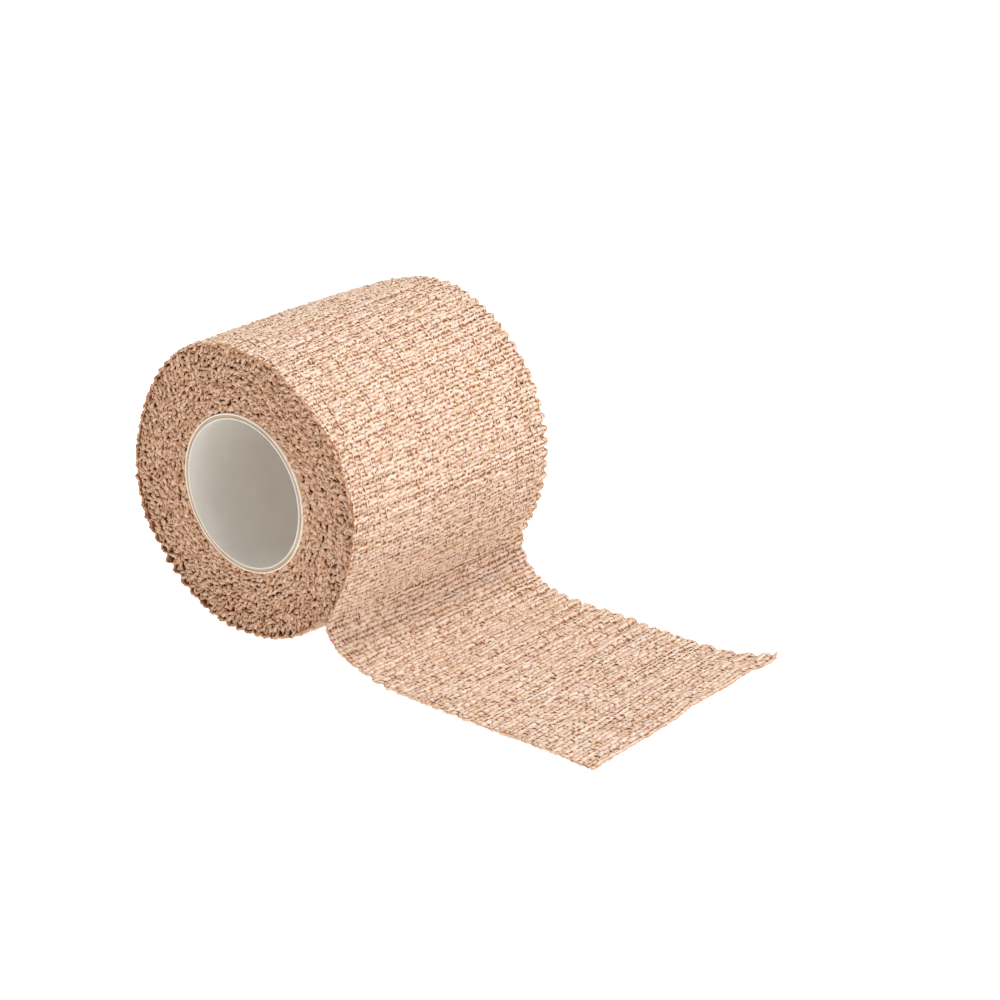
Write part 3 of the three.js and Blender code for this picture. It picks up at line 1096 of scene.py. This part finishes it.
def turn_edge_tree():
    """A pair of yarns wound inwards on one end face."""
    tree, sizes = new_tree("turn_edges", TURN_EDGE_SIZES)
    curve = line_curve(tree, sizes["Points"], ORIGIN, combine(tree, sizes["Point Step"]))
    lines = numbered_copies(line_of_points(tree, 2, ORIGIN, ORIGIN), curve)
    ply = attribute(tree, "row") * 2.0 - 1.0
    run = part(position(tree), 0)
    radius, angle, share = spiral_place(sizes, run)
    spot = face_point(sizes, radius, angle, share, ply * PLIES_APART)
    lumps = {name: uneven(sizes, kind, spot) for name, kind in TURN_NOISE.items()}
    below = 1.0 - SNUG_BELOW - cosine(angle) * SNUG_BELOW
    outside = share**3.0
    phase = (run / sizes["Wave Length"] + lumps["drift"]) * FULL_TURN
    pore = cosine(phase) * (outside * PORE_CHANCE_OUTSIDE + lumps["pores"] + PORE_CHANCE)
    opening = outside * PORE_OPENING_OUTSIDE + PORE_OPENING
    rib = cosine((run / sizes["Rib Length"] + lumps["drift"]) * FULL_TURN) * RIB_SHIFT
    shift = ((pore * opening + PLY_GAP) * ply + rib) * (outside * below + SNUG)
    shift = limited(shift + lumps["stray"], MOST_IN, MOST_OUT) + turn_slack(sizes, angle, share)
    pits = share * share * (below * PITS_OUTSIDE) - PITS_RARE
    pit = limited(lumps["pits"] + pits, 0.0, 1.0)
    depth = sine(phase) * ply * WEAVE_DIP + lumps["depth"] - pit * PIT_DEPTH
    y = (sizes["Face Place"] + depth) * sizes["Side"]
    # Painted shade: yarns sunk in pits and lying deeper in the face get a darker tint.
    tint = lumps["tint"] + FACE_TINT - pit * PIT_SHADE + depth / sizes["Yarn Width"] * DEPTH_SHADE
    marked = store(lines, "tint", tint)
    inputs = {"Geometry": marked, "Position": face_point(sizes, radius + shift, angle, share, y)}
    wound = node(tree, "GeometryNodeSetPosition", inputs)
    fullness = attribute(tree, "tint") * TINT_FULLNESS + THIN_YARN
    yarns = yarn_mesh(wound, sizes["Yarn Width"], sizes["Yarn Width"], YARN_SIDES, fullness)
    finish_tree(yarns, sizes["Material"])
    return tree


turn_edges = turn_edge_tree()
print("Turn edge tree:", len(turn_edges.nodes), "nodes,", round(TURNS_INSIDE, 1), "turns inside the last one")


def face_yarns(name, side):
    """The edges of the turns on the near face, -1, or on the far face, 1."""
    changes = {"Side": side, "Seed": TURN_EDGE_SIZES["Seed"] + side}
    return grow(name, turn_edges, {**TURN_EDGE_SIZES, **changes}, edge_material)


turns_near = face_yarns("turn_edges_near", -1.0)
turns_far = face_yarns("turn_edges_far", 1.0)

# %% [markdown]
# ## The paper tube
# The tube is wound from brown board between two white papers, which show at its rim as two thin pale lines
# with a darker band between them. Three thin rings, each a rounded section turned round the tube's axis,
# give those lines real edges that catch the light.

# %% Make the plies of the tube
TUBE_STEPS = 160
PLY_ROUNDING = 0.06 * MM
SHARP_ANGLE = math.radians(40)
TUBE_PLIES = [
    {"name": "core_liner", "inner": 1.10, "outer": 0.80, "past_end": 0.05},
    {"name": "core_board", "inner": 0.79, "outer": 0.27, "past_end": -0.12},
    {"name": "core_wrap", "inner": 0.26, "outer": 0.00, "past_end": 0.02},
]


def turned_ring(name, inner, outer, half_length):
    """A closed tube wall with slightly rounded rims, round the tube's axis."""
    lip = min(PLY_ROUNDING, (outer - inner) / 3)
    flat = [(inner + lip, -half_length), (outer - lip, -half_length)]
    rim = [(inner, -half_length + lip)] + flat + [(outer, -half_length + lip)]
    section = rim + [(radius, -y) for radius, y in reversed(rim)]
    points = []
    for step in range(TUBE_STEPS):
        angle = FULL_TURN * step / TUBE_STEPS
        for radius, y in section:
            x = tube_middle.x + radius * math.sin(angle)
            points.append((x, y, tube_middle.z + radius * math.cos(angle)))
    made = mesh_object(name, points, ring_faces(TUBE_STEPS, len(section)))
    turn_outwards(made)
    smooth_faces(made)
    made.data.set_sharp_from_angle(angle=SHARP_ANGLE)
    return made


tube_half_length = (tube_high.y - tube_low.y) / 2
tube_pieces = [
    turned_ring(
        ply["name"],
        TUBE_RADIUS - ply["inner"] * MM,
        TUBE_RADIUS - ply["outer"] * MM,
        tube_half_length + ply["past_end"] * MM,
    )
    for ply in TUBE_PLIES
]
print("Tube plies:", [piece.name for piece in tube_pieces])

# %% [markdown]
# ## Materials
# All colours are worked out in the shader, in Object coordinates or from what the yarns carry: a tint for
# each float and the flat place on the carpet, whose height paints shade low on each yarn. Fibres are matt,
# with a sheen of their own warm colour. Fine noise stretched along the yarns gives the crinkle of twisted
# fibres as bump.

# %% Define the shader helpers
FIBRE_ROUGHNESS = 0.9
FIBRE_SPECULAR = 0.1
FIBRE_SHEEN_ROUGHNESS = 0.5
FIBRE_SHEEN_TINT = (240, 206, 180)
NOISE_ROUGHNESS = 0.6


def linear(red, green, blue):
    """A screen colour, 0 to 255, as the linear colour that Blender works with, by the sRGB rule."""
    def channel(value):
        share = value / 255
        return share / 12.92 if share <= 0.04045 else ((share + 0.055) / 1.055) ** 2.4
    return (channel(red), channel(green), channel(blue), 1.0)


def shader_of(material, roughness):
    """Turns nodes on and gives the tree and its shader."""
    material.use_nodes = True
    tree = material.node_tree
    shader = next(item for item in tree.nodes if item.type == "BSDF_PRINCIPLED")
    shader.inputs["Roughness"].default_value = roughness
    return tree, shader


def fibrous(shader, sheen):
    """Fibres hardly shine: a weak highlight, and a sheen of their own warm colour."""
    shader.inputs["Specular IOR Level"].default_value = FIBRE_SPECULAR
    shader.inputs["Sheen Weight"].default_value = sheen
    shader.inputs["Sheen Roughness"].default_value = FIBRE_SHEEN_ROUGHNESS
    shader.inputs["Sheen Tint"].default_value = linear(*FIBRE_SHEEN_TINT)


def carried(tree, name, output="Fac"):
    """A number or a vector that the mesh carries."""
    return node(tree, "ShaderNodeAttribute", None, output, attribute_name=name)


def object_place(tree):
    """Object coordinates, in metres."""
    return node(tree, "ShaderNodeTexCoord", None, "Object")


def texture_noise(place, lump_size, detail=2.0):
    """Noise from 0 to 1 with lumps of a real size."""
    inputs = {"Vector": place, "Scale": 1 / lump_size, "Detail": detail, "Roughness": NOISE_ROUGHNESS}
    return node(place.tree, "ShaderNodeTexNoise", inputs)


def varied(spread, noise, share):
    """A spread with a share of some noise, taken about its middle, added to it."""
    return (noise - 0.5) * share + spread


def ramp(factor, stops):
    """Colours at places from 0 to 1, blended in between. Each stop is a place and a screen colour."""
    made = factor.tree.nodes.new("ShaderNodeValToRGB")
    connect(made.inputs[0], factor)
    elements = made.color_ramp.elements
    while len(elements) < len(stops):
        elements.new(0.5)
    for element, (place, colour) in zip(elements, stops.items()):
        element.position = place
        element.color = linear(*colour)
    return Field(factor.tree, made.outputs[0])


def multiplied(first, second):
    """Two colours multiplied."""
    inputs = {0: 1.0, 6: first, 7: second}
    return node(first.tree, "ShaderNodeMix", inputs, 2, data_type="RGBA", blend_type="MULTIPLY")


def bumped(shader, height, distance):
    """Gives the shader a relief of a real depth."""
    inputs = {"Height": height, "Distance": distance, "Strength": 1.0}
    connect(shader.inputs["Normal"], node(height.tree, "ShaderNodeBump", inputs))


print("Fibres keep a highlight of", FIBRE_SPECULAR)

# %% Finish the weft
STREAK_ALONG = 0.26 * MM
STREAK_ACROSS = 1.1 * MM
PATCH_ALONG = 1.3 * MM
PATCH_ACROSS = 3.2 * MM
SPECK_SIZE = 0.3 * MM
CRINKLE_ALONG = 0.2 * MM
CRINKLE_ACROSS = 0.5 * MM
CRINKLE_DEPTH = 0.12 * MM
FLANK_SHADE_LOW = 0.14 * MM
FLANK_SHADE_HIGH = 0.34 * MM
ROSY_LUMP = 1.4 * MM
ROSY_SHIFT = (3.1 * MM, 0.0, 0.0)
WEFT_SHEEN = 0.2
WEFT_MIX = {"tint": 0.15, "streaks": 0.9, "specks": 1.0, "patches": 0.8}
WEFT_COLOURS = {0.1: (190, 140, 104), 0.35: (237, 207, 186), 0.6: (246, 219, 204), 0.85: (248, 229, 218)}
FLANK_SHADE_COLOURS = {0.0: (210, 166, 134), 1.0: (255, 255, 255)}
ROSY_COLOURS = {0.35: (247, 251, 238), 0.65: (247, 245, 245)}


def carpet_noise(carpet, along, across, detail):
    """Noise whose lumps have one length along the strip and another across it."""
    squeezed = vector_calc("MULTIPLY", carpet, (1 / along, 1 / across, 1 / along))
    return texture_noise(squeezed, 1.0, detail)


def finish_weft():
    """Pale yarn with fine streaks along it, flanks painted browner as the shade between the yarns, and here
    and there a thin, browner patch.
    """
    tree, shader = shader_of(weft_material, FIBRE_ROUGHNESS)
    place = object_place(tree)
    carpet = carried(tree, "carpet", "Vector")
    streaks = carpet_noise(carpet, STREAK_ALONG, STREAK_ACROSS, 2.0)
    patches = carpet_noise(carpet, PATCH_ALONG, PATCH_ACROSS, 1.0)
    spread = varied(0.5, carried(tree, "tint"), WEFT_MIX["tint"])
    spread = varied(spread, streaks, WEFT_MIX["streaks"])
    spread = varied(spread, texture_noise(place, SPECK_SIZE, 3.0), WEFT_MIX["specks"])
    spread = varied(spread, patches, WEFT_MIX["patches"])
    # Painted shade: each yarn is coloured darker low on its flanks, where shade falls between the yarns.
    above_flank_shade = (part(carpet, 2) - FLANK_SHADE_LOW) / (FLANK_SHADE_HIGH - FLANK_SHADE_LOW)
    colour = multiplied(ramp(spread, WEFT_COLOURS), ramp(above_flank_shade, FLANK_SHADE_COLOURS))
    rosy = texture_noise(vector_calc("ADD", place, ROSY_SHIFT), ROSY_LUMP, 1.0)
    connect(shader.inputs["Base Color"], multiplied(colour, ramp(rosy, ROSY_COLOURS)))
    fibrous(shader, WEFT_SHEEN)
    bumped(shader, carpet_noise(carpet, CRINKLE_ALONG, CRINKLE_ACROSS, 3.0), CRINKLE_DEPTH)


finish_weft()
print("The weft has streaks", round(STREAK_ACROSS / MM, 2), "mm long")

# %% Finish the edges of the turns
# Painted shade: these colours are darker and browner than the outside cloth, partly for the shade on the end
# faces.
EDGE_COLOURS = {0.05: (112, 54, 20), 0.36: (207, 155, 119), 0.6: (224, 181, 150), 0.9: (238, 206, 180)}
EDGE_MIX = {"tint": 0.5, "specks": 1.6}
EDGE_SPECK_SIZE = 0.34 * MM
EDGE_CRINKLE = 0.2 * MM
EDGE_CRINKLE_DEPTH = 0.15 * MM
EDGE_SHEEN = 0.12


def finish_turn_edges():
    """Yarn edges in the shade of the end faces: pinker than the outside, and painted browner and darker as
    that shade.
    """
    tree, shader = shader_of(edge_material, FIBRE_ROUGHNESS)
    place = object_place(tree)
    spread = varied(0.5, carried(tree, "tint"), EDGE_MIX["tint"])
    spread = varied(spread, texture_noise(place, EDGE_SPECK_SIZE, 3.0), EDGE_MIX["specks"])
    connect(shader.inputs["Base Color"], ramp(spread, EDGE_COLOURS))
    fibrous(shader, EDGE_SHEEN)
    bumped(shader, texture_noise(place, EDGE_CRINKLE, 3.0), EDGE_CRINKLE_DEPTH)


finish_turn_edges()
print("The edges of the turns have", len(EDGE_COLOURS), "tones")

# %% Finish the brown cloth in the depth, with painted shade
# Painted shade: the ground is brown and is darkened further as the shade in the holes. The wound turns, the
# same pale cloth, are painted dark brown as the shade deep in the end faces' pores.
DEPTHS = [
    {
        "name": "ground_cloth", "piece": ground, "roughness": 0.85, "lump": 0.5 * MM, "relief": 0.15 * MM,
        "colours": {0.3: (132, 82, 50), 0.5: (166, 114, 78), 0.75: (192, 144, 108)},
    },
    {
        "name": "wound_turns", "piece": wound_turns, "roughness": 0.9, "lump": 0.8 * MM, "relief": 0.3 * MM,
        "colours": {0.3: (96, 48, 20), 0.6: (128, 72, 36), 0.8: (164, 104, 64)},
    },
]


def finish_depth(depth):
    """Brown elastic cloth that shows between the yarns, painted darker as the shade deep there, and darker
    still in its own pores as painted shade.
    """
    material = bpy.data.materials.new(depth["name"])
    tree, shader = shader_of(material, depth["roughness"])
    pores = texture_noise(object_place(tree), depth["lump"])
    connect(shader.inputs["Base Color"], ramp(pores, depth["colours"]))
    fibrous(shader, 0.0)
    bumped(shader, pores, depth["relief"])
    depth["piece"].data.materials.append(material)


for depth in DEPTHS:
    finish_depth(depth)
print("Brown cloth:", [depth["name"] for depth in DEPTHS])

# %% Finish the tube
# The liner's white is painted greyer than the wrap's, to stand for the shade inside the tube.
PLY_FINISHES = {
    "core_liner": {"paper": "white_liner", "pale": (229, 223, 214), "dark": (222, 216, 207), "rough": 0.5},
    "core_board": {"paper": "brown_board", "pale": (206, 182, 152), "dark": (186, 160, 130), "rough": 0.85},
    "core_wrap": {"paper": "white_wrap", "pale": (250, 238, 224), "dark": (244, 228, 212), "rough": 0.7},
}
CLOUD_SIZE = 6 * MM
TOOTH_SIZE = 0.3 * MM
TOOTH_DEPTH = 0.01 * MM


def finish_ply(piece, finish):
    """Paper with a faint cloudy tone and a very fine tooth."""
    material = bpy.data.materials.new(finish["paper"])
    tree, shader = shader_of(material, finish["rough"])
    place = object_place(tree)
    colour = ramp(texture_noise(place, CLOUD_SIZE), {0.3: finish["dark"], 0.7: finish["pale"]})
    connect(shader.inputs["Base Color"], colour)
    bumped(shader, texture_noise(place, TOOTH_SIZE, 3.0), TOOTH_DEPTH)
    piece.data.materials.append(material)


for piece in tube_pieces:
    finish_ply(piece, PLY_FINISHES[piece.name])
print("Materials:", len(bpy.data.materials))

# %% [markdown]
# ## The camera
# The camera stands where the photograph was taken from: above and to the right of the near face, far away
# with a long lens.

# %% Place the camera
CAMERA_PLACE = Vector((0.5313, -0.5257, 0.3189))
CAMERA_AIM = Vector((-0.6334, 0.6773, -0.3741)).normalized()
CAMERA_ROLL = math.radians(-1.67)
LENS_MM = 157.65
SENSOR_MM = 36
FARTHEST_SEEN = 20


def add_camera():
    """The photograph's camera, with its frame turned by a small roll."""
    level = CAMERA_AIM.cross(Vector((0, 0, 1))).normalized()
    upright = level.cross(CAMERA_AIM)
    right = math.cos(CAMERA_ROLL) * level + math.sin(CAMERA_ROLL) * upright
    up = -math.sin(CAMERA_ROLL) * level + math.cos(CAMERA_ROLL) * upright
    data = bpy.data.cameras.new("camera")
    data.lens = LENS_MM
    data.sensor_width = SENSOR_MM
    data.clip_end = FARTHEST_SEEN
    made = bpy.data.objects.new("camera", data)
    axes = Matrix((right, up, -CAMERA_AIM)).transposed()
    made.matrix_world = Matrix.Translation(CAMERA_PLACE) @ axes.to_4x4()
    bpy.context.scene.collection.objects.link(made)
    bpy.context.scene.camera = made


add_camera()
print("The camera stands", round(CAMERA_PLACE.length, 2), "m from the roll")

# %% [markdown]
# ## Light and floor
# The photograph has soft light from everywhere, a little stronger from the upper right, and a floor that
# is pure white. A white world gives the soft part, and two large lamps give the direction.

# %% Light the scene
WORLD_STRENGTH = 0.68
LAMP_DISTANCE = 1.2
LAMPS = [
    {"name": "above", "towards": (0.17, 0.22, 0.96), "size": 0.45, "power": 7.7},
    {"name": "side", "towards": (0.95, 0.0, 0.2), "size": 0.5, "power": 4.5},
]
FLOOR_HALF = 4.0
FLOOR_DROP = 0.3 * MM
FLOOR_GLOW = 0.9
FLOOR_TONE = 0.4
LOOKED_AT = Vector((0.02, 0.0, 0.02))


def add_lamp(lamp):
    """A large square lamp that looks at the roll."""
    data = bpy.data.lights.new(lamp["name"], "AREA")
    data.size = lamp["size"]
    data.energy = lamp["power"]
    made = bpy.data.objects.new(lamp["name"], data)
    towards = Vector(lamp["towards"]).normalized()
    made.location = LOOKED_AT + towards * LAMP_DISTANCE
    made.rotation_euler = towards.to_track_quat("Z", "Y").to_euler()
    bpy.context.scene.collection.objects.link(made)


def add_world():
    """Even white light from all around."""
    world = bpy.data.worlds.new("studio")
    world.use_nodes = True
    background = world.node_tree.nodes["Background"]
    background.inputs["Color"].default_value = (1.0, 1.0, 1.0, 1.0)
    background.inputs["Strength"].default_value = WORLD_STRENGTH
    bpy.context.scene.world = world


def add_floor():
    """A white floor that glows a little, so that it stays white under the object."""
    signs = [(-1, -1), (1, -1), (1, 1), (-1, 1)]
    corners = [(x * FLOOR_HALF, y * FLOOR_HALF, -FLOOR_DROP) for x, y in signs]
    floor = mesh_object("floor", corners, [(0, 1, 2, 3)])
    material = bpy.data.materials.new("white_floor")
    tree, shader = shader_of(material, 0.9)
    shader.inputs["Base Color"].default_value = (FLOOR_TONE, FLOOR_TONE, FLOOR_TONE, 1.0)
    shader.inputs["Emission Color"].default_value = (1.0, 1.0, 1.0, 1.0)
    shader.inputs["Emission Strength"].default_value = FLOOR_GLOW
    floor.data.materials.append(material)


for lamp in LAMPS:
    add_lamp(lamp)
add_world()
add_floor()
bpy.context.scene.view_settings.view_transform = "Standard"
print("Lamps:", [lamp["name"] for lamp in LAMPS])

# %% [markdown]
# ## Ride, replace and finish
# Nothing moves on this object, so all pieces ride on its one body. The cloth pieces stand for the solid
# strip and the plies for the solid tube.

# %% Put every piece on the body and hide the solids
bpy.data.objects.remove(guide)
outer_yarns = [weft_under, weft_over, weft_loose, warp_roll, warp_loose, selvedge_near, selvedge_far]
cloth_pieces = [ground, wound_turns, turns_near, turns_far] + outer_yarns
for piece in cloth_pieces:
    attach(piece, BODY)
    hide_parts(STRIP_NODE)
for piece in tube_pieces:
    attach(piece, BODY)
    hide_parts(TUBE_NODE)
print("Pieces:", len(cloth_pieces), "of cloth and", len(tube_pieces), "of paper")

# %% Count the triangles and finish
print("Triangles in all:", sum(triangles_of(piece) for piece in cloth_pieces + tube_pieces))
